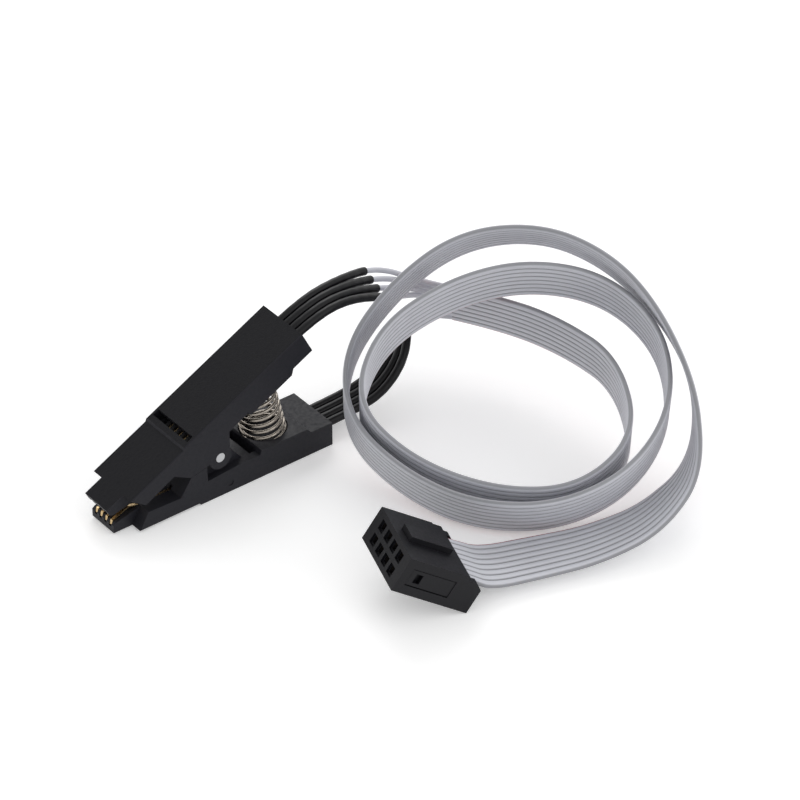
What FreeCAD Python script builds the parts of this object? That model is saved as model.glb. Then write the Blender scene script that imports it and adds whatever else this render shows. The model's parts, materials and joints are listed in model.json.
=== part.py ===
import FreeCAD, Part
import math
import os

os.makedirs("parts", exist_ok=True)

# All sizes in millimetres, +Z up. The clip lies on the lower jaw's outer face, nose towards -X,
# rear end towards +X. Points are first laid out with x = 0 at the lower jaw's rear end.
V = FreeCAD.Vector

# driving dimensions of the jaws
body_width = 10.0
nose_along = 40.3          # overall length, from the rear end
pivot_along = 0.534 * nose_along
pivot_depth = 7.37         # from the outer face
tip_depth = 2.9            # of the plane midway between the closed jaws, at the nose
shoulder_along = pivot_along + 3.75    # where the thinner front part starts
shoulder_step = 0.35
front_along = 0.914 * nose_along
nose_width = 5.7
window_front = shoulder_along - 1.0
window_rear = window_front - 1.2
window_wall = 0.5          # left at each side
window_depth = 1.7         # down to the fins between the strips
tail_depth = 4.3
pad_depth = 5.2
pad_rear = 4.9
pad_front = pivot_along - 7.8
pin_diameter = 1.6
ear_radius = 2.05
trough_depth = pivot_depth - ear_radius - 0.85    # between the hinge and the spring pad
hinge_block_radius = 2.3
hinge_block_half = 3.6
edge_round = 0.2

# named clearances
stop_gap = 0.02            # between each jaw and the closed stop plane
pin_clearance = 0.04       # pin in the turning ears, on the radius
ear_gap = 0.1              # between hinge block and ears
block_gap = 0.32           # hinge block in the upper jaw's pocket, on the radius
groove_side_gap = 0.06
groove_top_gap = 0.1
spring_seat_gap = 0.2      # on the radius
sleeve_bore_gap = 0.03
cavity_gap = 0.15
contact_gap = 0.153        # between a strip's crest and the middle plane

# contacts, spring and leads
contact_pitch = 1.27
contact_count = 4
contact_width = 0.5
contact_thick = 0.25
contact_depth = 2.2
rear_pocket = 2.4
rear_pocket_height = 1.5
lead_pitch = 1.5
lead_diameter = 0.9
sleeve_diameter = 1.4
spring_outer = 7.3
spring_wire = 0.58
spring_turns = 9.5
seat_depth = 3.96          # of the spring seat's floor, at its centre
seat_centre = (pad_front + pad_rear) / 2 + 0.2

# ribbon and socket
ribbon_conductors = 8
ribbon_thick = 0.9
ribbon_width = ribbon_conductors * contact_pitch
ribbon_tube = 2.7          # round tube with the ribbon's section area
ribbon_end_flat = 3.0
socket_width = 13.4
socket_height = 6.0
socket_depth = 14.0
socket_body = 9.4
socket_cover_end = 11.2
relief_end = 12.9
socket_pitch = 2.54
socket_leaf_half = 0.5
cavity_half = socket_leaf_half + cavity_gap
socket_heading = -18.9
socket_tilt = 32.2
socket_corner = V(-16.7, -34.3, 7.5)
socket_ribbon_height = 4.7

# each jaw turns by half of the angle between the outer faces, set by the hinge and the nose
slope = (pivot_depth - tip_depth) / (nose_along - pivot_along)
half = math.atan(slope)
W2 = body_width / 2
PIVOT = V(-pivot_along, 0, pivot_depth)
MID = V(math.cos(half), 0, math.sin(half))
MID_NORMAL = V(-math.sin(half), 0, math.cos(half))
# the spring's axis is square to the middle plane, through the centre of the seat's floor
spring_seat_along = math.cos(half) * (pivot_along - seat_centre - slope * (pivot_depth - seat_depth))
spring_half = (pivot_depth + spring_seat_along * math.sin(half) - seat_depth) / math.cos(half)


def middle_depth(along):
    """Depth of the plane midway between the jaws, under the pivot's own depth."""
    return pivot_depth - (along - pivot_along) * slope


def prism(points, y0, y1):
    """Polygon of (along, depth) points, extruded across the jaw from y0 to y1."""
    vs = [V(-s, y0, d) for s, d in points]
    face = Part.Face(Part.makePolygon(vs + [vs[0]]))
    return face.extrude(V(0, y1 - y0, 0))


def box(x0, x1, y0, y1, z0, z1):
    return Part.makeBox(x1 - x0, y1 - y0, z1 - z0, V(x0, y0, z0))


def across(radius, y0, y1, along=pivot_along, depth=pivot_depth):
    return Part.makeCylinder(radius, y1 - y0, V(-along, y0, depth), V(0, 1, 0))


def to_upper(shape):
    """Half turn about the middle line through the pivot: a lower shape becomes an upper one."""
    s = shape.copy()
    s.rotate(PIVOT, MID, 180)
    return s


def upper_point(along, y, depth):
    a, e = along - pivot_along, pivot_depth - depth
    c, n = math.cos(2 * half), math.sin(2 * half)
    return V(-pivot_along - a * c - e * n, y, pivot_depth - a * n + e * c)


def fuse_all(shapes):
    out = shapes[0]
    for s in shapes[1:]:
        out = out.fuse(s)
    return out.removeSplitter()


def lanes(pitch, count=contact_count):
    return [(i - (count - 1) / 2) * pitch for i in range(count)]


# path of a contact strip's middle line, as (along, depth)
nose_root = front_along - 1.6
inner_face = 3.1
strip_front = inner_face - contact_thick / 2
crest_along = nose_root + 1.7
strip_path = [
    (rear_pocket, contact_depth), (window_front, contact_depth), (shoulder_along + 1.0, strip_front),
    (nose_root, strip_front),
    (crest_along, middle_depth(crest_along) - contact_thick / 2 - contact_gap),
    (nose_along - 1.9, strip_front - 0.12),
    (nose_along - 0.45, 2.15), (nose_along - 0.25, 1.55)]


def strip_band(path, low, high):
    """Closed outline round a path, from low to high beyond its middle line in depth."""
    return [(s, d + low) for s, d in path] + [(s, d + high) for s, d in reversed(path)]


def contact(y):
    t = contact_thick / 2
    body = strip_band(strip_path[:-1], -t, t)
    tip0, tip1 = strip_path[-2], strip_path[-1]
    hook = [(tip0[0] - 0.2, tip0[1] + t), (tip0[0] + 0.12, tip0[1] + t), (tip1[0] + t, tip1[1]),
            (tip1[0] - t, tip1[1]), (tip0[0] - 0.2, tip0[1] - t)]
    y0, y1 = y - contact_width / 2, y + contact_width / 2
    return fuse_all([prism(body, y0, y1), prism(hook, y0, y1)])


def side_profile():
    """Outline both jaws share, as (along, depth), with the closed stop on the middle plane."""
    m = stop_gap / math.cos(half)
    p = pivot_along
    stop0, stop1 = p + 2.6, p + 5.6
    return [
        (0, 0), (shoulder_along, 0), (shoulder_along + shoulder_step, shoulder_step),
        (front_along, shoulder_step), (nose_root, inner_face + 0.2), (stop1 + 2.0, inner_face),
        (stop1, middle_depth(stop1) - m), (stop0, middle_depth(stop0) - m),
        (stop0 - 0.15, trough_depth - 0.5), (p - 0.5, trough_depth - 0.25), (p - 3.8, trough_depth),
        (pad_front + 0.3, trough_depth - 0.05), (pad_front, pad_depth), (pad_rear, pad_depth),
        (pad_rear - 0.8, tail_depth), (0, tail_depth)]


def nose():
    """Centred finger block with comb teeth, in front of the jaw's full-width part."""
    n2 = nose_width / 2
    top = strip_front - contact_thick / 2 + 0.3
    return prism([(nose_root - 1.0, shoulder_step), (nose_along, shoulder_step), (nose_along, 1.7),
                  (nose_along - 0.5, 2.1), (nose_root + 0.4, top), (nose_root - 1.0, top)], -n2, n2)


def spring_seat():
    floor = PIVOT + MID * spring_seat_along - MID_NORMAL * spring_half
    return Part.makeCylinder(spring_outer / 2 + spring_seat_gap, 6, floor, MID_NORMAL)


def jaw_blank():
    base = prism(side_profile(), -W2, W2)
    # the long outer edges are rounded before anything is cut
    edges = []
    for e in base.Edges:
        b = e.BoundBox
        flat = abs(abs(b.YMin) - W2) < 1e-6 and b.YLength < 1e-6
        if flat and b.ZMax < 0.8 and b.XLength > 3:
            edges.append(e)
    base = base.makeFillet(edge_round, edges)
    base = fuse_all([base, nose()])
    cuts = []
    t = contact_thick / 2
    tunnel = strip_path[:4]
    g = contact_width / 2 + groove_side_gap
    for y in lanes(contact_pitch):
        cuts.append(prism(strip_band(tunnel, -t, t + groove_top_gap), y - g, y + g))
        # open groove in the front part and the nose, and the slot through the comb's tip
        s0, s1 = nose_root, nose_along - 1.75
        open_from = shoulder_along + 3.4
        cuts.append(prism([(open_from, strip_front - t), (s0, strip_front - t),
                           (s1, strip_front - t - 0.35), (s1, 4.5), (open_from, 4.5)], y - g, y + g))
        cuts.append(prism([(s1 - 0.01, 1.2), (nose_along + 1, 1.2), (nose_along + 1, 4.5), (s1 - 0.01, 4.5)],
                          y - g, y + g))
    # rear pocket for the sleeved leads
    h = rear_pocket_height / 2
    cuts.append(prism([(-1, contact_depth - h), (rear_pocket, contact_depth - h),
                       (rear_pocket, contact_depth + h), (-1, contact_depth + h)], -3.1, 3.1))
    # window behind the shoulder, with a slit over each strip and one more on each side
    half_w = body_width / 2 - window_wall
    cuts.append(prism([(window_rear, -1), (window_front, -1), (window_front, window_depth),
                       (window_rear, window_depth)], -half_w, half_w))
    fin = window_depth - 0.1
    for y in lanes(contact_pitch, contact_count + 2):
        cuts.append(prism([(window_rear, fin), (window_front, fin), (window_front, contact_depth),
                           (window_rear, contact_depth)], y - g, y + g))
    # slot between the hinge and the spring pad, and the round spring seat
    s0, s1, top = pad_front + 0.15, pad_front + 1.4, pad_depth + 3
    cuts.append(prism([(s0, 2.9), (s1, 2.9), (s1, top), (s0, top)], -hinge_block_half, hinge_block_half))
    cuts.append(spring_seat())
    return base, cuts


def lower_jaw():
    base, cuts = jaw_blank()
    m = stop_gap / math.cos(half)
    b = hinge_block_half
    p, r = pivot_along, hinge_block_radius
    f0, f1 = p + 2.1, p + 3.6
    block = prism([(f1, 3.0), (f1, middle_depth(f1) - m), (f0, middle_depth(f0) - m), (p, pivot_depth),
                   (p - 0.6, pivot_depth + r * 0.95), (p - 4.8, trough_depth + 0.15), (p - 5.2, 3.0)], -b, b)
    disc = across(r, -b, b)
    dimple = Part.makeCylinder(0.55, 1, V(-p + 1.8, -W2 - 0.88, 1.75), V(0, 1, 0))
    out = fuse_all([base, block, disc])
    for c in cuts + [across(pin_diameter / 2, -b - 1, b + 1), dimple]:
        out = out.cut(c)
    return out


def upper_jaw():
    base, cuts = jaw_blank()
    p, b = pivot_along, hinge_block_half + ear_gap
    ears = []
    for y0, y1 in ((-W2, -b), (b, W2)):
        ears.append(prism([(p + 2.6, 3.0), (p + 2.6, middle_depth(p + 2.6) - stop_gap * 2),
                           (p + 1.6, pivot_depth - 0.4), (p - ear_radius, pivot_depth),
                           (p - 3.5, trough_depth - 0.05), (p - 3.8, 3.0)], y0, y1))
        ears.append(across(ear_radius, y0, y1))
    out = fuse_all([base] + ears)
    cuts.append(across(hinge_block_radius + block_gap, -b, b))
    cuts.append(across(pin_diameter / 2 + pin_clearance, -W2 - 1, W2 + 1))
    for c in cuts:
        out = out.cut(c)
    return to_upper(out)


def spring():
    """Round wire on a helix, its ends cut square at the two seat floors."""
    length = 2 * spring_half
    r = (spring_outer - spring_wire) / 2
    pitch = length / spring_turns
    helix = Part.makeHelix(pitch, length, r)
    ring = Part.Wire(Part.makeCircle(spring_wire / 2, V(r, 0, 0), V(0, 1, pitch / (2 * math.pi * r))))
    coil = Part.Wire(helix).makePipeShell([ring], True, True)
    keep = Part.makeCylinder(spring_outer, length, V(0, 0, 0), V(0, 0, 1))
    coil = coil.common(keep)
    coil.rotate(V(0, 0, 0), V(0, 1, 0), -math.degrees(half))
    coil.translate(PIVOT + MID * spring_seat_along - MID_NORMAL * spring_half)
    return coil


def route_wire(points, label, stop=None):
    """Straight runs joined by tangent arcs, each radius 0.45 of its shorter run over tan(half turn).
    With stop, a point on the last run, the wire ends there."""
    edges, radii = [], []
    last = points[0]
    for a, b, c in zip(points, points[1:], points[2:]):
        u, w = (b - a), (c - b)
        reach = 0.45 * min(u.Length, w.Length)
        u.normalize()
        w.normalize()
        turn = u.getAngle(w)
        radius = reach / math.tan(turn / 2)
        radii.append(round(radius, 1))
        p, q = b - u * reach, b + w * reach
        inward = w - u
        inward.normalize()
        mid = b + inward * (radius / math.cos(turn / 2) - radius)
        edges.append(Part.LineSegment(last, p).toShape())
        edges.append(Part.Arc(p, mid, q).toShape())
        last = q
    edges.append(Part.LineSegment(last, stop or points[-1]).toShape())
    print(label, "radii", radii)
    return Part.Wire(edges)


def tube(points, diameter, label, stop=None):
    wire = route_wire(points, label, stop)
    face = Part.Face(Part.Wire(Part.makeCircle(diameter / 2, points[0], points[1] - points[0])))
    out = wire.makePipe(face)
    ideal = math.pi * diameter ** 2 / 4 * wire.Length
    print(label, "length %.1f" % wire.Length, "volume ratio %.4f" % (out.Volume / ideal), out.isValid())
    return out


# socket frame: x from the mating face to the rear, y towards the far end, z up out of the key side
def socket_matrix():
    h, t = math.radians(socket_heading), math.radians(socket_tilt)
    ex = V(math.cos(h) * math.cos(t), math.sin(h) * math.cos(t), -math.sin(t))
    ez = V(math.cos(h) * math.sin(t), math.sin(h) * math.sin(t), math.cos(t))
    ey = V(-math.sin(h), math.cos(h), 0)
    o = socket_corner - ey * (socket_width / 2)
    return FreeCAD.Matrix(ex.x, ey.x, ez.x, o.x, ex.y, ey.y, ez.y, o.y, ex.z, ey.z, ez.z, o.z, 0, 0, 0, 1)


def in_socket(x, y, z):
    return socket_matrix().multVec(V(x, y, z))


def placed(shape):
    s = shape.copy()
    s.Placement = FreeCAD.Placement(socket_matrix())
    return s


S2 = socket_width / 2
row_heights = (socket_height / 2 - socket_pitch / 2, socket_height / 2 + socket_pitch / 2)
arm_y = S2 - 0.9


def socket_housing():
    out = box(0, socket_body, -S2, S2, 0, socket_height)
    key = box(1.6, socket_cover_end - 1.9, -1.7, 1.7, socket_height - 0.1, socket_height + 0.95)
    out = fuse_all([out, key])
    for y in lanes(socket_pitch):
        for z in row_heights:
            w = cavity_half
            cav = box(-1, socket_body + 1, y - w, y + w, z - w, z + w)
            mouth = Part.makeBox(0.4, 1.7, 1.7, V(-0.001, y - 0.85, z - 0.85))
            out = out.cut(cav).cut(mouth)
    for sgn in (-1, 1):
        # channel in each end wall for the cover's latching arm
        y0, y1 = sorted((sgn * arm_y, sgn * (S2 + 1)))
        out = out.cut(box(1.5, socket_body + 1, y0, y1, 1.5, 4.5))
    return out


def socket_cover():
    out = box(socket_body, socket_cover_end, -S2, S2, 0, socket_height - 0.15)
    parts = [out]
    for sgn in (-1, 1):
        y0, y1 = sorted((sgn * arm_y, sgn * (S2 - 0.1)))
        arm = box(1.6, socket_body + 0.5, y0, y1, 1.65, 4.35)
        arm = arm.cut(box(2.5, 3.7, y0 - 1, y1 + 1, 2.2, 3.8))
        parts.append(arm)
    out = fuse_all(parts)
    rt = ribbon_thick / 2
    z = socket_ribbon_height
    out = out.cut(box(socket_body + 0.2, 20, -ribbon_width / 2, ribbon_width / 2, z - rt, z + rt))
    # room inside for the contact tails
    out = out.cut(box(socket_body - 0.01, socket_body + 0.75, -ribbon_width / 2, ribbon_width / 2,
                      1.0, z - rt))
    out = out.cut(box(socket_body - 0.01, socket_body + 0.21, -ribbon_width / 2, ribbon_width / 2,
                      1.0, z + rt))
    return out


def strain_relief():
    z = socket_ribbon_height - ribbon_thick / 2
    bar = box(socket_cover_end, relief_end, -S2, S2, 0, z)
    ears = [box(socket_cover_end, socket_depth, *sorted((s * 5.4, s * S2)), 0, 5.3) for s in (-1, 1)]
    out = fuse_all([bar] + ears)
    for s in (-1, 1):
        y0, y1 = sorted((s * 5.2, s * (S2 + 0.5)))
        wedge = Part.makePolygon([V(12.6, y0, 5.4), V(14.2, y0, 5.4), V(14.2, y0, 4.2), V(12.6, y0, 5.4)])
        out = out.cut(Part.Face(wedge).extrude(V(0, y1 - y0, 0)))
    return out


def socket_contact(y, row):
    """Leaf along its cavity's lower wall; the tail meets the ribbon's cut end or its underside."""
    z = row_heights[row] - cavity_half
    half_w = socket_leaf_half
    leaf = box(1.0, socket_body, y - half_w, y + half_w, z, z + 0.3)
    side = box(1.0, 3.2, y - half_w, y - half_w + 0.25, z, z + 1.1)
    pinch = box(1.0, 3.2, y + half_w - 0.25, y + half_w, z, z + 1.1)
    under = socket_ribbon_height - ribbon_thick / 2
    if row == 0:
        tail = [box(socket_body - 0.1, socket_body + 0.5, y - half_w, y + half_w, max(z, 1.0), z + 0.3),
                box(socket_body + 0.25, socket_body + 0.5, y - half_w, y + half_w, z + 0.1, under)]
    else:
        tail = [box(socket_body - 0.3, socket_body, y - half_w, y + half_w, z, z + 1.2),
                box(socket_body - 0.1, socket_body + 0.2, y - half_w, y + half_w, under + 0.1, z + 1.2)]
    return fuse_all([leaf, side, pinch] + tail)


# ribbon route, from the socket to the start of the leads; chosen by hand from the object's loops
RIBBON_ROUTE = [
    V(-2.6, -46.2, 2.2), V(5.2, -48.6, 1.9), V(14.5, -51.5, 1.8), V(24.5, -53.4, 3.4), V(34.0, -52.0, 8.0),
    V(39.7, -45.4, 16.0), V(41.2, -35.3, 23.6), V(40.8, -22.6, 27.4), V(36.3, -11.0, 28.6),
    V(26.3, -3.2, 26.8), V(14.6, -1.0, 20.6), V(3.5, -3.8, 14.3), V(-3.1, -12.9, 9.2), V(-2.2, -25.4, 5.8),
    V(1.9, -37.8, 5.0), V(11.3, -46.3, 5.3), V(24.1, -48.6, 7.4), V(35.3, -44.8, 12.5), V(41.7, -35.0, 18.2),
    V(40.4, -23.0, 22.4), V(31.5, -13.9, 24.0), V(19.9, -8.8, 22.4), V(7.3, -8.0, 18.4), V(-1.6, -14.3, 11.9),
    V(0.8, -25.1, 6.3), V(7.9, -35.8, 4.9), V(18.1, -43.4, 5.4), V(29.8, -42.8, 9.2), V(35.2, -32.1, 13.3),
    V(34.9, -19.5, 13.4), V(32.0, -8.0, 12.9)]
RIBBON_END = V(27.0, -0.8, 13.4)
run_in = (RIBBON_ROUTE[-1] - RIBBON_END)
run_in.normalize()
lean = V(-0.26, -0.33, 0.91)
lean = lean - run_in * lean.dot(run_in)
lean.normalize()


def flat_piece(origin, along, wide, length):
    """Flat stretch of the ribbon, from origin along its run."""
    n = along.cross(wide)
    w, t = wide * (ribbon_width / 2), n * (ribbon_thick / 2)
    ring = [origin - w - t, origin + w - t, origin + w + t, origin - w + t]
    return Part.Face(Part.makePolygon(ring + [ring[0]])).extrude(along * length)


def ribbon_cable():
    m = socket_matrix()
    ex = V(m.A11, m.A21, m.A31)
    ey = V(m.A12, m.A22, m.A32)
    inner = in_socket(socket_body + 0.2, 0, socket_ribbon_height)
    socket_flat = flat_piece(inner, ex, ey, relief_end - socket_body - 0.2 + ribbon_end_flat / 6)
    lead_flat = flat_piece(RIBBON_END, run_in, lean, ribbon_end_flat)
    first = in_socket(relief_end + 0.2, 0, socket_ribbon_height)
    route = [first] + RIBBON_ROUTE + [RIBBON_END + run_in * (ribbon_end_flat - 1.0)]
    return fuse_all([tube(route, ribbon_tube, "ribbon"), socket_flat, lead_flat])


def lead_end(i):
    """Where conductor i of the ribbon leaves its flat end: 0 is the marked edge."""
    return RIBBON_END + lean * ((i - (ribbon_conductors - 1) / 2) * contact_pitch)


def lead_route(jaw, k):
    """Route of one lead from its jaw's rear pocket to the ribbon, its sleeved share and the sleeve's end."""
    y = lanes(lead_pitch)[k]
    if jaw == "upper":
        end = lead_end(contact_count + k)
        pts = [upper_point(rear_pocket, y, contact_depth), upper_point(-4.2, y, contact_depth),
               V(7.4, 1.05 * y + 1.5, 23.0 + 0.12 * y), V(18.0, 1.1 * y + 4.5, 18.3 + 0.7 * y),
               end - run_in * 4.8, end]
        last, share = 3, 0.7
    else:
        end = lead_end(contact_count - 1 - k)
        pts = [V(-rear_pocket, y, contact_depth), V(4.4, y, contact_depth),
               V(11.4, 1.1 * y - 1.2, 4.0 - 0.1 * y), V(17.6, 1.2 * y + 0.6, 7.6 - 0.7 * y),
               end - run_in * 8.0 - V(0, 0, 0.9), end]
        last, share = 4, 0.42
    stop = pts[last - 1] + (pts[last] - pts[last - 1]) * share
    return pts, pts[:last + 1], stop


def lead_and_sleeve(jaw, k):
    pts, sleeved, stop = lead_route(jaw, k)
    label = "%s %d" % (jaw, k + 1)
    lead = tube(pts, lead_diameter, "lead " + label)
    outer = tube(sleeved, sleeve_diameter, "sleeve " + label, stop)
    bore = tube(sleeved, lead_diameter + 2 * sleeve_bore_gap, "bore " + label, stop)
    return lead, outer.cut(bore)


parts = {
    "lower_jaw": lower_jaw(),
    "upper_jaw": upper_jaw(),
    "pivot_pin": across(pin_diameter / 2, -W2, W2),
    "spring": spring(),
    "socket_housing": placed(socket_housing()),
    "socket_cover": placed(socket_cover()),
    "strain_relief": placed(strain_relief()),
    "ribbon_cable": ribbon_cable(),
}
for k, y in enumerate(lanes(contact_pitch)):
    parts["contact_lower_%d" % (k + 1)] = contact(y)
    parts["contact_upper_%d" % (k + 1)] = to_upper(contact(-y))
for k in range(contact_count):
    for jaw in ("lower", "upper"):
        lead, sleeve = lead_and_sleeve(jaw, k)
        parts["lead_%s_%d" % (jaw, k + 1)] = lead
        parts["sleeve_%s_%d" % (jaw, k + 1)] = sleeve
for row in (0, 1):
    for k, y in enumerate(lanes(socket_pitch)):
        parts["socket_contact_%d" % (row * 4 + k + 1)] = placed(socket_contact(y, row))

# origin: under the middle of the clip's own box, on the surface it lies on
xs = [v.X for n in ("lower_jaw", "upper_jaw") for v in parts[n].Vertexes]
shift = V(-(min(xs) + max(xs)) / 2, 0, 0)
print("shift %.4f %.4f %.4f" % (shift.x, shift.y, shift.z))
total = 0
for name, shape in parts.items():
    s = shape.copy()
    s.translate(shift)
    solids = s.Solids
    body = solids[0] if len(solids) == 1 else Part.makeCompound(solids)
    total += body.Volume
    print(name, "solids", len(solids), "valid", body.isValid(), "volume %.3f" % body.Volume,
          "z %.2f..%.2f" % (body.BoundBox.ZMin, body.BoundBox.ZMax))
    body.exportStep("parts/%s.step" % name)
print("parts", len(parts), "volume %.1f" % total)
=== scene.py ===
"""Finishes of a two-jaw chip test clip with sleeved leads, a looped ribbon cable and a plug-on socket."""
import json
import math

import bpy
import numpy as np
from bpy.props import FloatProperty, FloatVectorProperty, IntProperty, PointerProperty
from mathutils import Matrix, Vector


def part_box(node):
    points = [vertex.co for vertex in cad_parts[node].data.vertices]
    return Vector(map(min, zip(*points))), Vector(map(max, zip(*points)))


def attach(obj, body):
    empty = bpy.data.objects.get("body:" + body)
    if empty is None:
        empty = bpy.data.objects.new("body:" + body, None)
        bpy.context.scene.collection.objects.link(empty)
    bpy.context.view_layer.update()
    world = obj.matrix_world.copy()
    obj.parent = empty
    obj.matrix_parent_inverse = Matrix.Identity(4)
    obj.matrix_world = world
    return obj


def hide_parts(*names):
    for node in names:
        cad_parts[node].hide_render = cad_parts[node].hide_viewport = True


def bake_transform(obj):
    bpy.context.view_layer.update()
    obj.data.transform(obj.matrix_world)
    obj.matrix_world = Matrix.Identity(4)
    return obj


bl_info = {
    "name": "Chip Test Clip",
    "version": (1, 0, 0),
    "blender": (4, 5, 0),
    "location": "View3D > Sidebar > Test Clip",
    "description": "Ribbon, leads, spring and moulded finishes for a two-jaw chip test clip",
    "category": "Object",
}

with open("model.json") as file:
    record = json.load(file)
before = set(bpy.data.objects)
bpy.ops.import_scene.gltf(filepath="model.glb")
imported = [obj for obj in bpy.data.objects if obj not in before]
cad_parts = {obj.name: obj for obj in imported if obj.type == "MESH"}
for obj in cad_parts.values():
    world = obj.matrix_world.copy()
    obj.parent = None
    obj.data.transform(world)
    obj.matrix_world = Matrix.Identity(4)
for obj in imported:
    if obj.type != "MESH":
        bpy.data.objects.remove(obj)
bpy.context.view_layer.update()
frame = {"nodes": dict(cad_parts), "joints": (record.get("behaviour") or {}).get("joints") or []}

MM = 0.001
CONDUCTORS = 8
LANES = 4

# Camera, lamps and surroundings, in metres and watts.
EYE = (-0.3117, -0.4481, 0.4122)
AIM = (0.0364, -0.0021, 0.0)
LENS_MM = 198.0
LAMP_AIM = (0.02, -0.02, 0.0)
LAMP_SIDE = 0.6
LAMPS = [("key", (0.45, 0.60, 0.60), 2.4), ("fill", (0.35, -0.75, 0.45), 1.2)]
SKY_ON_OBJECT = 0.72
FLOOR_LIFT = 0.3
FLOOR_REACH = 2.0

# How finely the surfaces are cut.
SPLINE_STEPS = 24
SMOOTHING_ROWS = 31
LEAD_ROWS, LEAD_SIDES = 90, 20
SLEEVE_ROWS, SLEEVE_SIDES = 80, 24
TURN_ROWS, WIRE_SIDES = 56, 14
RIB_STEPS = 8

# Half the angle between the jaws at rest.
HALF_ANGLE = math.radians(13.39)
# The hinge and the lower jaw's rear end as packed, in metres, then the ways along the middle plane
# between the jaws and square to it.
PIVOT = np.array(frame["joints"][0]["pos_m"])
JAW_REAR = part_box("lower_jaw")[1][0]
MID = np.array([math.cos(HALF_ANGLE), 0.0, math.sin(HALF_ANGLE)])
MID_NORMAL = np.array([-math.sin(HALF_ANGLE), 0.0, math.cos(HALF_ANGLE)])

# The ribbon's control points, from inside the socket's cover to the start of the leads.
RIBBON_ROUTE = [
    (0.0120, -0.0441, 0.00625), (0.0147, -0.0450, 0.0045), (0.0181, -0.0462, 0.0022),
    (0.0259, -0.0486, 0.0019), (0.0352, -0.0515, 0.0018), (0.0452, -0.0534, 0.0034),
    (0.0547, -0.0520, 0.0080), (0.0604, -0.0454, 0.0160), (0.0619, -0.0353, 0.0236),
    (0.0615, -0.0226, 0.0274), (0.0570, -0.0110, 0.0286), (0.0470, -0.0032, 0.0268),
    (0.0353, -0.0010, 0.0206), (0.0242, -0.0038, 0.0143), (0.0176, -0.0129, 0.0092),
    (0.0185, -0.0254, 0.0058), (0.0226, -0.0378, 0.0050), (0.0320, -0.0463, 0.0053),
    (0.0448, -0.0486, 0.0074), (0.0560, -0.0448, 0.0125), (0.0624, -0.0350, 0.0182),
    (0.0611, -0.0230, 0.0224), (0.0522, -0.0139, 0.0240), (0.0406, -0.0088, 0.0224),
    (0.0276, -0.0077, 0.0184), (0.0183, -0.0137, 0.0119), (0.0207, -0.0245, 0.0063),
    (0.0272, -0.0376, 0.0049), (0.0371, -0.0456, 0.0056), (0.0494, -0.0442, 0.0092),
    (0.0559, -0.0321, 0.0133), (0.0556, -0.0195, 0.0134), (0.0527, -0.0080, 0.0129),
    (0.0477, -0.0008, 0.0134),
]
# Way across the ribbon, from its marked edge to the other, at shares of its length.
RIBBON_ACROSS = [
    (0.00, (-0.324, -0.946, 0.00)), (0.03, (-0.536, -0.850, 0.00)), (0.10, (-0.615, -0.788, 0.15)),
    (0.16, (-0.554, -0.710, 0.40)), (0.20, (-0.420, -0.560, 0.71)), (0.25, (-0.420, -0.540, 0.73)),
    (0.30, (-0.380, -0.480, 0.79)), (0.36, (-0.308, -0.394, 0.86)), (1.00, (-0.258, -0.331, 0.91)),
]

# A lead starts in its jaw's rear pocket: x and z in the lower jaw, in metres, and in the upper jaw the
# distances from its rear end and from its outer face, in millimetres.
LOWER_POCKET = [(0.0183, 0.0022), (0.0251, 0.0022)]
UPPER_POCKET_MM = [(2.4, 2.2), (-4.2, 2.2)]
# Its next control points hold x, a share and a shift for y, and z with its own share: the lead's place
# across the jaw is multiplied by the shares.
LEAD_VIA = {
    "lower": [(0.0321, 1.1, -0.0012, 0.0040, -0.1), (0.0383, 1.2, 0.0006, 0.0076, -0.7)],
    "upper": [(0.0281, 1.05, 0.0015, 0.0230, 0.12), (0.0387, 1.1, 0.0045, 0.0183, 0.7)],
}
# It falls in line with its conductor this far before the ribbon's end, and this far below it.
LEAD_JOIN = {"lower": (0.0080, 0.0009), "upper": (0.0048, 0.0)}
# Its sleeve ends this share of the way from one of its control points to the next.
SLEEVE_STOP = {"lower": (3, 0.42), "upper": (2, 0.7)}

# The outer face's coarse grain starts this far in front of a jaw's rear end.
GRAIN_START_MM = 25.5


def linear(code):
    """sRGB hex code as linear red, green and blue."""
    parts = [int(code[k:k + 2], 16) / 255 for k in (0, 2, 4)]
    return tuple(c / 12.92 if c <= 0.04045 else ((c + 0.055) / 1.055) ** 2.4 for c in parts)


def tint(code, name, description):
    """Colour property that starts as this sRGB hex code."""
    return FloatVectorProperty(name=name, description=description, subtype="COLOR", size=3,
                               min=0.0, max=1.0, default=linear(code))


def length(value_mm, name, description):
    """Length property that starts at this many millimetres."""
    return FloatProperty(name=name, description=description, default=value_mm * MM, min=0.0,
                         unit="LENGTH", subtype="DISTANCE", precision=5)


class ClipSizes(bpy.types.PropertyGroup):
    conductor_pitch: length(1.27, "Conductor pitch", "Distance between the ribbon's conductors")
    ribbon_thick: length(0.9, "Ribbon thickness", "Thickness over a conductor")
    web_thick: length(0.3, "Web thickness", "Thickness between two conductors")
    lead_diameter: length(0.9, "Lead diameter", "Outer diameter of a single lead")
    sleeve_diameter: length(1.4, "Sleeve diameter", "Outer diameter of a shrunk sleeve")
    lead_pitch: length(1.5, "Lead pitch", "Distance between leads in a jaw's rear pocket")
    spring_diameter: length(7.3, "Spring diameter", "Outer diameter of the coil spring")
    wire_diameter: length(0.58, "Wire diameter", "Diameter of the spring's wire")
    spring_height: length(12.2, "Spring height", "Fitted height between the two seats")
    spring_along: length(10.89, "Spring place", "Distance from the hinge to the spring's axis")
    spring_turns: FloatProperty(name="Spring turns", description="Turns of the coil, ends included",
                                default=9.5, min=3.0, max=20.0)
    ribbon_rows: IntProperty(name="Ribbon rows", description="Cross sections along the ribbon",
                             default=520, min=60, max=1500)


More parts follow.
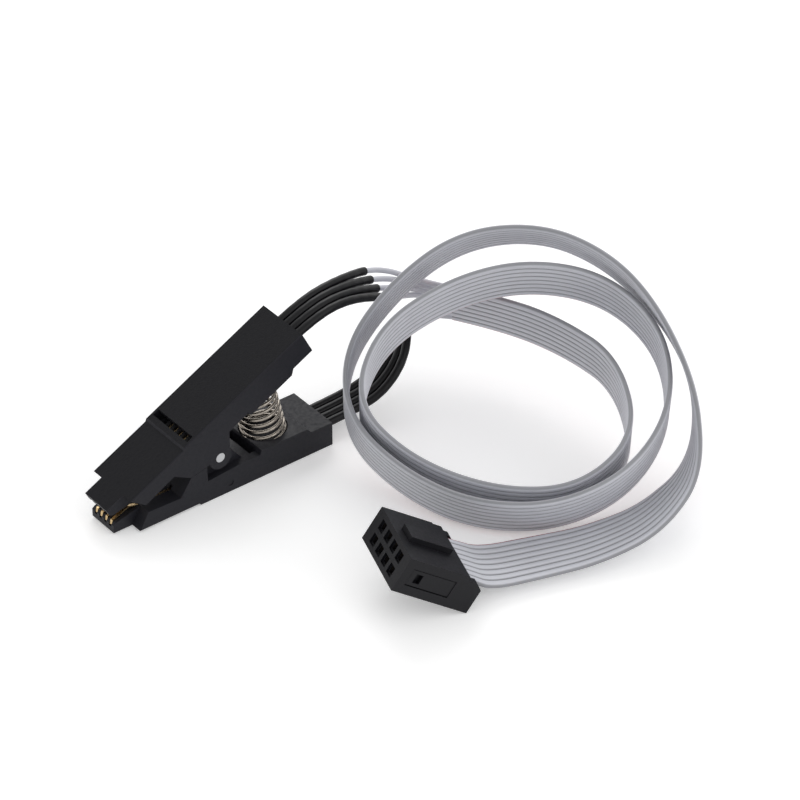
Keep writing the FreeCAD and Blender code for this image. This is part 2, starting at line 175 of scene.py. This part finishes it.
class ClipColours(bpy.types.PropertyGroup):
    jaw: tint("242429", "Jaw", "Black glass-filled nylon on the side walls")
    # painted shade: the outer face's colour is this same nylon made darker, standing in for the
    # self-shadow and lost shine of its pebbled grain
    jaw_outer_painted_shade: tint("0b0b10", "Jaw outer face", "The same nylon where the pebbled grain shades it")
    socket: tint("141418", "Socket", "Black glass-filled polyester")
    ribbon: tint("d2d3da", "Ribbon", "Grey vinyl")
    marked_edge: tint("a8505c", "Marked edge", "Red ink on the first conductor")
    sleeve: tint("0c0c0f", "Sleeve", "Black shrink tube")
    gold: tint("c8ae82", "Gold", "Gold plating")
    nickel: tint("9a938a", "Nickel", "Nickel-plated music wire")
    steel: tint("c6c7c9", "Steel", "Turned steel pin")
    floor: tint("f6f6f6", "Floor", "Studio sweep")


# surfaces

def unit(rows):
    """Rows brought to length one."""
    return rows / np.linalg.norm(rows, axis=-1, keepdims=True)


def spline_points(points):
    """Points read from a quadratic NURBS spline with these control points, its ends included."""
    data = bpy.data.curves.new("route", "CURVE")
    data.dimensions = "3D"
    data.resolution_u = SPLINE_STEPS
    line = data.splines.new("NURBS")
    line.points.add(len(points) - 1)
    line.points.foreach_set("co", [c for p in points for c in (*p, 1.0)])
    line.order_u = 3
    line.use_endpoint_u = True
    holder = bpy.data.objects.new("route", data)
    mesh = bpy.data.meshes.new_from_object(holder)
    flat = np.empty(len(mesh.vertices) * 3)
    mesh.vertices.foreach_get("co", flat)
    bpy.data.objects.remove(holder)
    bpy.data.curves.remove(data)
    bpy.data.meshes.remove(mesh)
    return flat.reshape(-1, 3)


def arc_length(line):
    """Running length at each point: the sum of the steps before it."""
    return np.r_[0.0, np.cumsum(np.linalg.norm(np.diff(line, axis=0), axis=1))]


def stations(line, at):
    """Places and tangents of a line at the given running lengths, each read between its neighbours."""
    run = arc_length(line)
    slope = unit(np.gradient(line, run, axis=0))
    place = np.stack([np.interp(at, run, line[:, k]) for k in range(3)], axis=1)
    tangent = np.stack([np.interp(at, run, slope[:, k]) for k in range(3)], axis=1)
    return place, unit(tangent)


def carried(place, tangent, side, outline):
    """Outline carried along a path: place plus the outline's first number times side, plus its second
    times face, where side is made square to the tangent and face is tangent cross side."""
    side = unit(side - (side * tangent).sum(axis=1, keepdims=True) * tangent)
    face = np.cross(tangent, side)
    return place[:, None] + outline[..., 0:1] * side[:, None] + outline[..., 1:2] * face[:, None]


def circle(radii, count):
    """Circle of each row's radius: radius times cosine and sine of the angle."""
    turn = np.linspace(0, 2 * np.pi, count, endpoint=False)
    ring = np.stack([np.cos(turn), np.sin(turn)], axis=1)
    return np.asarray(radii)[:, None, None] * ring


def skin(name, grid, material, flat=None, sharp=35.0):
    """Closed skin over a grid of rows round a path; each end is closed by strips from side to side.
    flat holds two numbers for each grid point, kept as the UV map."""
    rows, cols = grid.shape[:2]
    i, j = np.meshgrid(np.arange(rows - 1), np.arange(cols), indexing="ij")
    k = (j + 1) % cols
    walls = np.stack([i * cols + j, i * cols + k, (i + 1) * cols + k, (i + 1) * cols + j], axis=-1)
    half = cols // 2
    a = np.arange(1, half - 1)
    strips = np.stack([a, a + 1, cols - a - 1, cols - a], axis=1).tolist()
    strips += [[0, 1, cols - 1], [half - 1, half, half + 1]]
    last = (rows - 1) * cols
    faces = walls.reshape(-1, 4).tolist()
    faces += [f[::-1] for f in strips] + [[v + last for v in f] for f in strips]
    mesh = bpy.data.meshes.new(name)
    mesh.from_pydata(grid.reshape(-1, 3).tolist(), [], faces)
    mesh.shade_smooth()
    mesh.set_sharp_from_angle(angle=math.radians(sharp))
    if flat is not None:
        index = np.empty(len(mesh.loops), np.int32)
        mesh.loops.foreach_get("vertex_index", index)
        layer = mesh.uv_layers.new(name="flat")
        layer.data.foreach_set("uv", flat.reshape(-1, 2)[index].ravel())
    mesh.materials.append(material)
    piece = bpy.data.objects.new(name, mesh)
    bpy.context.scene.collection.objects.link(piece)
    return piece


# materials

def add(tree, kind, inputs=None, **settings):
    """Adds one node; settings are its properties, inputs its sockets' values or what feeds them."""
    new = tree.nodes.new(kind)
    for key, value in settings.items():
        setattr(new, key, value)
    for key, value in (inputs or {}).items():
        if isinstance(value, bpy.types.NodeSocket):
            tree.links.new(value, new.inputs[key])
        else:
            new.inputs[key].default_value = value
    return new


def surface(name, colour, roughness, **inputs):
    """A material with one principled shader, its tree and that shader."""
    material = bpy.data.materials.new(name)
    material.use_nodes = True
    tree = material.node_tree
    tree.nodes.clear()
    values = {"Base Color": (*colour, 1.0), "Roughness": roughness}
    values.update({key.replace("_", " "): value for key, value in inputs.items()})
    shader = add(tree, "ShaderNodeBsdfPrincipled", values)
    add(tree, "ShaderNodeOutputMaterial", {"Surface": shader.outputs[0]})
    return material, tree, shader


def feed(tree, shader, **fields):
    """Links fields to the shader's sockets of the same names."""
    for key, field in fields.items():
        tree.links.new(field, shader.inputs[key.replace("_", " ")])


def ramp(tree, field, low=0.0, high=1.0, start=0.0, stop=1.0):
    """Runs evenly from low, where the field is at start, to high, where it is at stop."""
    return add(tree, "ShaderNodeMapRange", {"Value": field, "From Min": start, "From Max": stop,
                                            "To Min": low, "To Max": high}).outputs[0]


def math_of(tree, operation, first, second):
    """One step of arithmetic on two numbers or fields."""
    return add(tree, "ShaderNodeMath", {0: first, 1: second}, operation=operation).outputs[0]


def noise(tree, vector, size_mm, detail, roughness=0.5):
    """Cloudy field with features of this size."""
    return add(tree, "ShaderNodeTexNoise", {"Vector": vector, "Scale": 1.0 / (size_mm * MM),
                                            "Detail": detail, "Roughness": roughness}).outputs["Fac"]


def relief(tree, height, strength, depth_mm):
    """Surface lifted by a height field, over this depth."""
    return add(tree, "ShaderNodeBump", {"Strength": strength, "Distance": depth_mm * MM,
                                        "Height": height}).outputs[0]


def seen_by(tree, *rays):
    """One for rays of these kinds and nought for all others: the highest of their marks."""
    path = add(tree, "ShaderNodeLightPath")
    mark = path.outputs[rays[0]]
    for ray in rays[1:]:
        mark = math_of(tree, "MAXIMUM", mark, path.outputs[ray])
    return mark


def moulded_jaw(name, colour, painted_shade_colour, outward, ahead, start):
    """Black glass-filled nylon out of a spark-eroded mould: the outer face has a pebbled grain, coarse
    in front of the shoulder and finer behind it, that breaks up its shine. The outer face's base
    colour is a darker copy of the nylon, painted shade that stands in for the grain's self-shadow and
    lost shine. The side walls are nearly smooth and catch a grey sheen."""
    material, tree, shader = surface(name, colour, 0.46, Specular_IOR_Level=0.16)
    coord = add(tree, "ShaderNodeTexCoord")
    at = coord.outputs["Object"]
    facing = add(tree, "ShaderNodeVectorMath", {0: coord.outputs["Normal"], 1: outward},
                 operation="DOT_PRODUCT")
    outer = ramp(tree, facing.outputs["Value"], start=0.9, stop=0.98)
    # painted shade: faces turned outward get the darker colour, for the grain's self-shadow and lost
    # shine
    colour_with_painted_shade = add(tree, "ShaderNodeMix", {"Factor": outer, 6: (*colour, 1.0), 7: (*painted_shade_colour, 1.0)},
                      data_type="RGBA")
    forward = add(tree, "ShaderNodeVectorMath", {0: at, 1: ahead}, operation="DOT_PRODUCT")
    front = ramp(tree, forward.outputs["Value"], start=start, stop=start + 0.1 * MM)
    coarse = noise(tree, at, 0.55, 3.0, 0.6)
    fine = noise(tree, at, 0.22, 2.0, 0.55)
    grain = add(tree, "ShaderNodeMix", {"Factor": front, 2: fine, 3: coarse}).outputs[0]
    feed(tree, shader, Base_Color=colour_with_painted_shade.outputs[2],
         Normal=relief(tree, grain, ramp(tree, outer, 0.08, 0.55), 0.08),
         Roughness=ramp(tree, coarse, 0.38, 0.6, 0.35, 0.7))
    return material


def black_plastic(name, colour, grain_mm, roughness):
    """Black moulded plastic: a faint orange-peel skin breaks up the light on a satin surface."""
    material, tree, shader = surface(name, colour, roughness, Specular_IOR_Level=0.22)
    peel = noise(tree, add(tree, "ShaderNodeTexCoord").outputs["Object"], grain_mm, 3.0)
    feed(tree, shader, Normal=relief(tree, peel, 0.25, 0.04),
         Roughness=ramp(tree, peel, roughness - 0.08, roughness + 0.1))
    return material


def metal(name, colour, roughness, grain_mm, stretch=(1.0, 1.0, 1.0)):
    """Plated or bare metal: fine marks along one way vary its gloss and lift the surface a little."""
    material, tree, shader = surface(name, colour, roughness, Metallic=1.0)
    at = add(tree, "ShaderNodeTexCoord").outputs["Object"]
    marks = noise(tree, add(tree, "ShaderNodeMapping", {"Vector": at, "Scale": stretch}).outputs[0],
                  grain_mm, 4.0)
    feed(tree, shader, Roughness=ramp(tree, marks, roughness - 0.1, roughness + 0.14),
         Normal=relief(tree, marks, 0.15, 0.02))
    return material


def ribbon_vinyl(name, colour, marked, pitch):
    """Extruded grey vinyl over eight conductors, the first inked red: draw lines run along each one,
    the grooves between conductors are darkened in the base colour as painted shade, and the gloss
    comes and goes along the cable."""
    material, tree, shader = surface(name, colour, 0.42)
    flat = add(tree, "ShaderNodeUVMap", uv_map="flat").outputs[0]
    across = add(tree, "ShaderNodeSeparateXYZ", {0: flat}).outputs[0]
    inked = ramp(tree, across, 1.0, 0.0, -3.7 * pitch, -3.6 * pitch)
    from_groove = math_of(tree, "PINGPONG", math_of(tree, "MULTIPLY", across, 1 / pitch), 0.5)
    # painted shade: the base colour falls to 0.45 of itself in the hollows between conductors
    painted_groove_shade = ramp(tree, from_groove, 0.45, 1.0, 0.05, 0.2)
    lines = add(tree, "ShaderNodeMapping", {"Vector": flat, "Scale": (1.0, 0.02, 1.0)}).outputs[0]
    cloud = noise(tree, flat, 14.0, 2.0)
    # random tone along the cable times that painted shade between conductors; the grey below carries both
    shade = math_of(tree, "MULTIPLY", ramp(tree, cloud, 0.93, 1.05, 0.3, 0.7), painted_groove_shade)
    grey = add(tree, "ShaderNodeVectorMath", {0: colour, 1: shade}, operation="MULTIPLY")
    paint = add(tree, "ShaderNodeMix", {"Factor": inked, 6: grey.outputs[0], 7: (*marked, 1.0)},
                data_type="RGBA")
    feed(tree, shader, Base_Color=paint.outputs[2], Roughness=ramp(tree, cloud, 0.34, 0.5),
         Normal=relief(tree, noise(tree, lines, 0.25, 2.0), 0.2, 0.03))
    return material


def cord_plastic(name, colour, roughness, wrinkle_mm, depth, gloss):
    """Vinyl lead or shrunk sleeve: soft wrinkles from bending and shrinking break up its highlight."""
    material, tree, shader = surface(name, colour, roughness, Specular_IOR_Level=gloss)
    wrinkle = noise(tree, add(tree, "ShaderNodeUVMap", uv_map="flat").outputs[0], wrinkle_mm, 3.0)
    feed(tree, shader, Normal=relief(tree, wrinkle, depth, 0.05),
         Roughness=ramp(tree, wrinkle, roughness - 0.08, roughness + 0.1))
    return material


def dress(material, *names):
    """Gives CAD nodes a material in each of their slots."""
    for name in names:
        for place in frame["nodes"][name].material_slots:
            place.material = material


# operators

class CLIP_OT_stage(bpy.types.Operator):
    """Camera at the picture's angle, pale floor and soft light"""
    bl_idname = "clip.stage"
    bl_label = "Stage"

    def execute(self, context):
        scene = context.scene
        colours = scene.clip_colours
        lens = bpy.data.cameras.new("camera")
        lens.lens = LENS_MM
        lens.sensor_width = 36.0
        lens.clip_start = 0.01
        camera = bpy.data.objects.new("camera", lens)
        camera.location = EYE
        camera.rotation_euler = (Vector(AIM) - Vector(EYE)).to_track_quat("-Z", "Y").to_euler()
        scene.collection.objects.link(camera)
        scene.camera = camera

        # painted studio sweep: matt, lifted towards white only for the eye and for reflections
        material, tree, shader = surface("studio_sweep", colours.floor, 0.9,
                                         Emission_Color=(1.0, 1.0, 1.0, 1.0))
        lift = math_of(tree, "MULTIPLY", seen_by(tree, "Is Camera Ray", "Is Glossy Ray"), FLOOR_LIFT)
        feed(tree, shader, Emission_Strength=lift)
        mesh = bpy.data.meshes.new("floor")
        corners = [(x * FLOOR_REACH, y * FLOOR_REACH, 0) for x, y in ((-1, -1), (1, -1), (1, 1), (-1, 1))]
        mesh.from_pydata(corners, [], [(0, 1, 2, 3)])
        mesh.materials.append(material)
        floor = bpy.data.objects.new("floor", mesh)
        scene.collection.objects.link(floor)

        # white surroundings for the eye and for reflections, a softer level for the light they give
        world = bpy.data.worlds.new("studio")
        world.use_nodes = True
        sky = world.node_tree
        sky.nodes.clear()
        level = ramp(sky, seen_by(sky, "Is Camera Ray", "Is Glossy Ray", "Is Transmission Ray"),
                     SKY_ON_OBJECT, 1.0)
        back = add(sky, "ShaderNodeBackground", {"Color": (1.0, 1.0, 1.0, 1.0), "Strength": level})
        add(sky, "ShaderNodeOutputWorld", {"Surface": back.outputs[0]})
        scene.world = world

        for name, spot, power in LAMPS:
            data = bpy.data.lights.new(name, "AREA")
            data.size = LAMP_SIDE
            data.energy = power
            lamp = bpy.data.objects.new(name, data)
            lamp.location = spot
            lamp.rotation_euler = (Vector(LAMP_AIM) - Vector(spot)).to_track_quat("-Z", "Y").to_euler()
            scene.collection.objects.link(lamp)
        scene.view_settings.view_transform = "Standard"
        return {"FINISHED"}


def ribbon_outline(sizes):
    """Cross section of the ribbon. Over a conductor the half thickness is the web's half plus the rest
    times the square root of one less the 2.4th power of the offset over half the pitch; the two outer
    edges close to a point."""
    pitch = sizes.conductor_pitch
    step = np.cos(np.pi * np.arange(RIB_STEPS) / RIB_STEPS)
    offset = np.tile(step, CONDUCTORS)
    centre = np.repeat((np.arange(CONDUCTORS)[::-1] - (CONDUCTORS - 1) / 2) * pitch, RIB_STEPS)
    across = centre + offset * pitch / 2
    rise = np.sqrt(np.clip(1 - np.abs(offset) ** 2.4, 0, 1))
    web = np.where(np.abs(across) > (CONDUCTORS - 1) / 2 * pitch, 0.0, sizes.web_thick / 2)
    thick = web + (sizes.ribbon_thick / 2 - web) * rise
    top = np.stack([across, thick], axis=1)
    far = np.array([[-CONDUCTORS / 2 * pitch, 0.0]])
    under = top[:0:-1] * (1, -1)
    return np.concatenate([top, far, under])


def ribbon_sides(share):
    """Way across the ribbon at shares of its length: straight lines between the listed ways, smoothed
    by a raised-cosine window over the rows."""
    listed = [s for s, _ in RIBBON_ACROSS]
    side = np.stack([np.interp(share, listed, [w[k] for _, w in RIBBON_ACROSS])
                     for k in range(3)], axis=1)
    window = np.hanning(SMOOTHING_ROWS)
    margin = SMOOTHING_ROWS // 2
    padded = np.pad(side, ((margin, margin), (0, 0)), mode="edge")
    return np.stack([np.convolve(padded[:, k], window / window.sum(), mode="valid")
                     for k in range(3)], axis=1)


class CLIP_OT_ribbon(bpy.types.Operator):
    """Flat eight-conductor ribbon along its looped route"""
    bl_idname = "clip.ribbon"
    bl_label = "Ribbon cable"

    def execute(self, context):
        sizes, colours = context.scene.clip_sizes, context.scene.clip_colours
        line = spline_points(RIBBON_ROUTE)
        total = arc_length(line)[-1]
        at = np.linspace(0, total, sizes.ribbon_rows)
        place, tangent = stations(line, at)
        outline = ribbon_outline(sizes)
        grid = carried(place, tangent, ribbon_sides(at / total), outline)
        flat = np.stack(np.broadcast_arrays(outline[None, :, 0], at[:, None]), axis=-1)
        vinyl = ribbon_vinyl("extruded_grey_vinyl", colours.ribbon, colours.marked_edge,
                             sizes.conductor_pitch)
        piece = skin("grey_ribbon", grid, vinyl, flat, sharp=60.0)
        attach(piece, "lower_body")
        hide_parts("ribbon_cable")
        sockets = ["socket_housing", "socket_cover", "strain_relief"]
        sockets += ["socket_contact_%d" % (k + 1) for k in range(CONDUCTORS)]
        return {"FINISHED"}


def upper_rear(along, depth):
    """x and z of a place on the upper jaw, along from its rear end and depth from its outer face in
    millimetres, turned about the hinge by the angle between the jaws."""
    behind, over = JAW_REAR - PIVOT[0] - along * MM, PIVOT[2] - depth * MM
    c, n = math.cos(2 * HALF_ANGLE), math.sin(2 * HALF_ANGLE)
    return PIVOT[0] + behind * c - over * n, PIVOT[2] + behind * n + over * c


def lead_points(jaw, k, sizes):
    """Control points of one lead, from its jaw's rear pocket to its conductor at the ribbon's end."""
    end = np.array(RIBBON_ROUTE[-1])
    back = unit(np.array(RIBBON_ROUTE[-2]) - end)
    lean = np.array(RIBBON_ACROSS[-1][1])
    lean = unit(lean - (lean @ back) * back)
    y = (k - (LANES - 1) / 2) * sizes.lead_pitch
    conductor = LANES + k if jaw == "upper" else LANES - 1 - k
    end = end + lean * ((conductor - (CONDUCTORS - 1) / 2) * sizes.conductor_pitch)
    via = [(x, share * y + shift, z + z_share * y) for x, share, shift, z, z_share in LEAD_VIA[jaw]]
    pocket = [upper_rear(*at) for at in UPPER_POCKET_MM] if jaw == "upper" else LOWER_POCKET
    before, below = LEAD_JOIN[jaw]
    near = end - back * before - (0.0, 0.0, below)
    return [(x, y, z) for x, z in pocket] + via + [tuple(near), tuple(end)]


def sleeve_profile(sizes, reach, k):
    """Running lengths and radii of a shrunk sleeve. The radius is the outer one, less a small share of
    the squared sine of the length past the pocket; the lip turns in at the end and closes on the lead
    a little way inside."""
    out = sizes.sleeve_diameter / 2
    bore = sizes.lead_diameter / 2 + 0.03 * MM
    along = np.linspace(0, reach, SLEEVE_ROWS)
    swell = 1 - 0.03 * np.sin(along / MM * 1.3 + k) ** 2 * (along > 1.0 * MM)
    lip = np.array([(0.04 * MM, out * 0.985), (0.0, out - 0.07 * MM), (0.0, bore + 0.08 * MM),
                    (0.05 * MM, bore), (0.6 * MM, bore)])
    return np.r_[along[:-1], reach - lip[:, 0]], np.r_[out * swell[:-1], lip[:, 1]]


def tube(name, line, at, radii, count, material):
    """Round skin along a line: a circle of each row's radius. Its UV map holds the way round and the
    running length, in metres."""
    place, tangent = stations(line, at)
    grid = carried(place, tangent, np.array([[0.0, 1.0, 0.0]]), circle(radii, count))
    turn = np.arange(count) / count * 2 * np.pi * radii[0]
    flat = np.stack(np.broadcast_arrays(turn[None], at[:, None]), axis=-1)
    return skin(name, grid, material, flat)


class CLIP_OT_leads(bpy.types.Operator):
    """Eight leads and the shrunk sleeves over them"""
    bl_idname = "clip.leads"
    bl_label = "Leads and sleeves"

    def execute(self, context):
        sizes, colours = context.scene.clip_sizes, context.scene.clip_colours
        vinyl = cord_plastic("lead_grey_vinyl", colours.ribbon, 0.42, 0.5, 0.2, 0.5)
        shrunk = cord_plastic("black_shrink_tube", colours.sleeve, 0.34, 0.7, 0.35, 0.22)
        for jaw in LEAD_VIA:
            for k in range(LANES):
                name = "%s_%d" % (jaw, k + 1)
                points = lead_points(jaw, k, sizes)
                line = spline_points(points)
                run = arc_length(line)
                total = run[-1]
                at = np.linspace(0, total, LEAD_ROWS)
                radii = np.full(LEAD_ROWS, sizes.lead_diameter / 2)
                lead = tube("grey_lead_" + name, line, at, radii, LEAD_SIDES, vinyl)
                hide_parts("lead_" + name)

                before, share = SLEEVE_STOP[jaw]
                stop = np.array(points[before]) * (1 - share) + np.array(points[before + 1]) * share
                reach = run[np.argmin(np.linalg.norm(line - stop, axis=1))]
                rows, radii = sleeve_profile(sizes, reach, k)
                sleeve = tube("shrink_sleeve_" + name, line, rows, radii, SLEEVE_SIDES, shrunk)
                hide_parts("sleeve_" + name)
                for piece in (lead, sleeve):
                    if jaw == "upper":
                        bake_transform(piece)
                    else:
                        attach(piece, "lower_body")
        return {"FINISHED"}


def spring_heights(turn, turns, wire, tall):
    """Height of the wire's middle at each turn: the running sum of a pitch that is one wire at the two
    closed ends and grows, by a smooth step over half a turn, to an even pitch between them."""
    near_end = np.minimum(turn, turns - turn)
    open_share = np.clip((near_end - 0.5) / 0.5, 0, 1)
    open_share = open_share ** 2 * (3 - 2 * open_share)
    spare = (tall - wire) - wire * turns
    pitch = wire + spare * open_share / (open_share.mean() * turns)
    return np.r_[0, np.cumsum((pitch[1:] + pitch[:-1]) / 2 * np.diff(turn))] + wire / 2


class CLIP_OT_spring(bpy.types.Operator):
    """Coil spring with closed, ground ends, standing in the two seats"""
    bl_idname = "clip.spring"
    bl_label = "Coil spring"

    def execute(self, context):
        sizes, colours = context.scene.clip_sizes, context.scene.clip_colours
        foot = PIVOT + MID * sizes.spring_along - MID_NORMAL * sizes.spring_height / 2
        wire, tall = sizes.wire_diameter, sizes.spring_height
        turn = np.linspace(0, sizes.spring_turns, int(sizes.spring_turns * TURN_ROWS))
        height = spring_heights(turn, sizes.spring_turns, wire, tall)
        angle = 2 * np.pi * turn
        across, out = np.array([0.0, 1.0, 0.0]), np.cross([0.0, 1.0, 0.0], MID_NORMAL)
        spoke = np.cos(angle)[:, None] * across + np.sin(angle)[:, None] * out
        place = foot + spoke * (sizes.spring_diameter - wire) / 2 + height[:, None] * MID_NORMAL
        tangent = unit(np.gradient(place, axis=0))
        grid = carried(place, tangent, spoke, circle(np.full(len(turn), wire / 2), WIRE_SIDES))
        # ground ends: nothing passes the seats' floors
        lift, clear = (grid - foot) @ MID_NORMAL, 0.02 * MM
        grid = grid + (np.clip(lift, clear, tall - clear) - lift)[..., None] * MID_NORMAL
        wire_finish = metal("nickel_plated_music_wire", colours.nickel, 0.24, 0.4)
        piece = skin("coil_spring", grid, wire_finish, sharp=50.0)
        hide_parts("spring")
        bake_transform(piece)
        return {"FINISHED"}


class CLIP_OT_jaws(bpy.types.Operator):
    """Finishes of the two jaws, their pin and their contacts"""
    bl_idname = "clip.jaws"
    bl_label = "Jaws, pin and contacts"

    def execute(self, context):
        colours = context.scene.clip_colours
        c, n = math.cos(2 * HALF_ANGLE), math.sin(2 * HALF_ANGLE)
        edge_x, edge_z = upper_rear(GRAIN_START_MM, 0.0)
        lower = moulded_jaw("lower_jaw_glass_nylon", colours.jaw, colours.jaw_outer_painted_shade,
                            (0.0, 0.0, -1.0), (-1.0, 0.0, 0.0), GRAIN_START_MM * MM - JAW_REAR)
        upper = moulded_jaw("upper_jaw_glass_nylon", colours.jaw, colours.jaw_outer_painted_shade,
                            (-n, 0.0, c), (-c, 0.0, -n), -c * edge_x - n * edge_z)
        dress(lower, "lower_jaw")
        dress(upper, "upper_jaw")
        dress(metal("turned_steel", colours.steel, 0.3, 0.2, (1.0, 0.1, 1.0)), "pivot_pin")
        gold = metal("gold_on_spring_bronze", colours.gold, 0.26, 0.3)
        dress(gold, *["contact_%s_%d" % (jaw, k + 1) for jaw in LEAD_VIA for k in range(LANES)])
        return {"FINISHED"}


class CLIP_OT_socket(bpy.types.Operator):
    """Finishes of the socket's three mouldings and its contacts"""
    bl_idname = "clip.socket"
    bl_label = "Socket"

    def execute(self, context):
        colours = context.scene.clip_colours
        dress(black_plastic("socket_glass_polyester", colours.socket, 0.5, 0.42),
              "socket_housing", "socket_cover", "strain_relief")
        dress(metal("gold_on_contact_bronze", colours.gold, 0.3, 0.3),
              *["socket_contact_%d" % (k + 1) for k in range(CONDUCTORS)])
        return {"FINISHED"}


class CLIP_PT_panel(bpy.types.Panel):
    """Sizes, colours and pieces of the test clip"""
    bl_label = "Test Clip"
    bl_idname = "CLIP_PT_panel"
    bl_space_type = "VIEW_3D"
    bl_region_type = "UI"
    bl_category = "Test Clip"

    def draw(self, context):
        for group in (context.scene.clip_sizes, context.scene.clip_colours):
            box = self.layout.box()
            for key in group.__annotations__:
                box.prop(group, key)
        for piece in PIECES:
            self.layout.operator(piece.bl_idname)


PIECES = (CLIP_OT_stage, CLIP_OT_ribbon, CLIP_OT_leads, CLIP_OT_spring, CLIP_OT_jaws, CLIP_OT_socket)
CLASSES = (ClipSizes, ClipColours) + PIECES + (CLIP_PT_panel,)


def register():
    for part in CLASSES:
        bpy.utils.register_class(part)
    bpy.types.Scene.clip_sizes = PointerProperty(type=ClipSizes)
    bpy.types.Scene.clip_colours = PointerProperty(type=ClipColours)


def unregister():
    del bpy.types.Scene.clip_colours
    del bpy.types.Scene.clip_sizes
    for part in reversed(CLASSES):
        bpy.utils.unregister_class(part)


def main():
    register()
    bpy.ops.clip.stage()
    bpy.ops.clip.ribbon()
    bpy.ops.clip.leads()
    bpy.ops.clip.spring()
    bpy.ops.clip.jaws()
    bpy.ops.clip.socket()


if __name__ == "__main__":
    main()
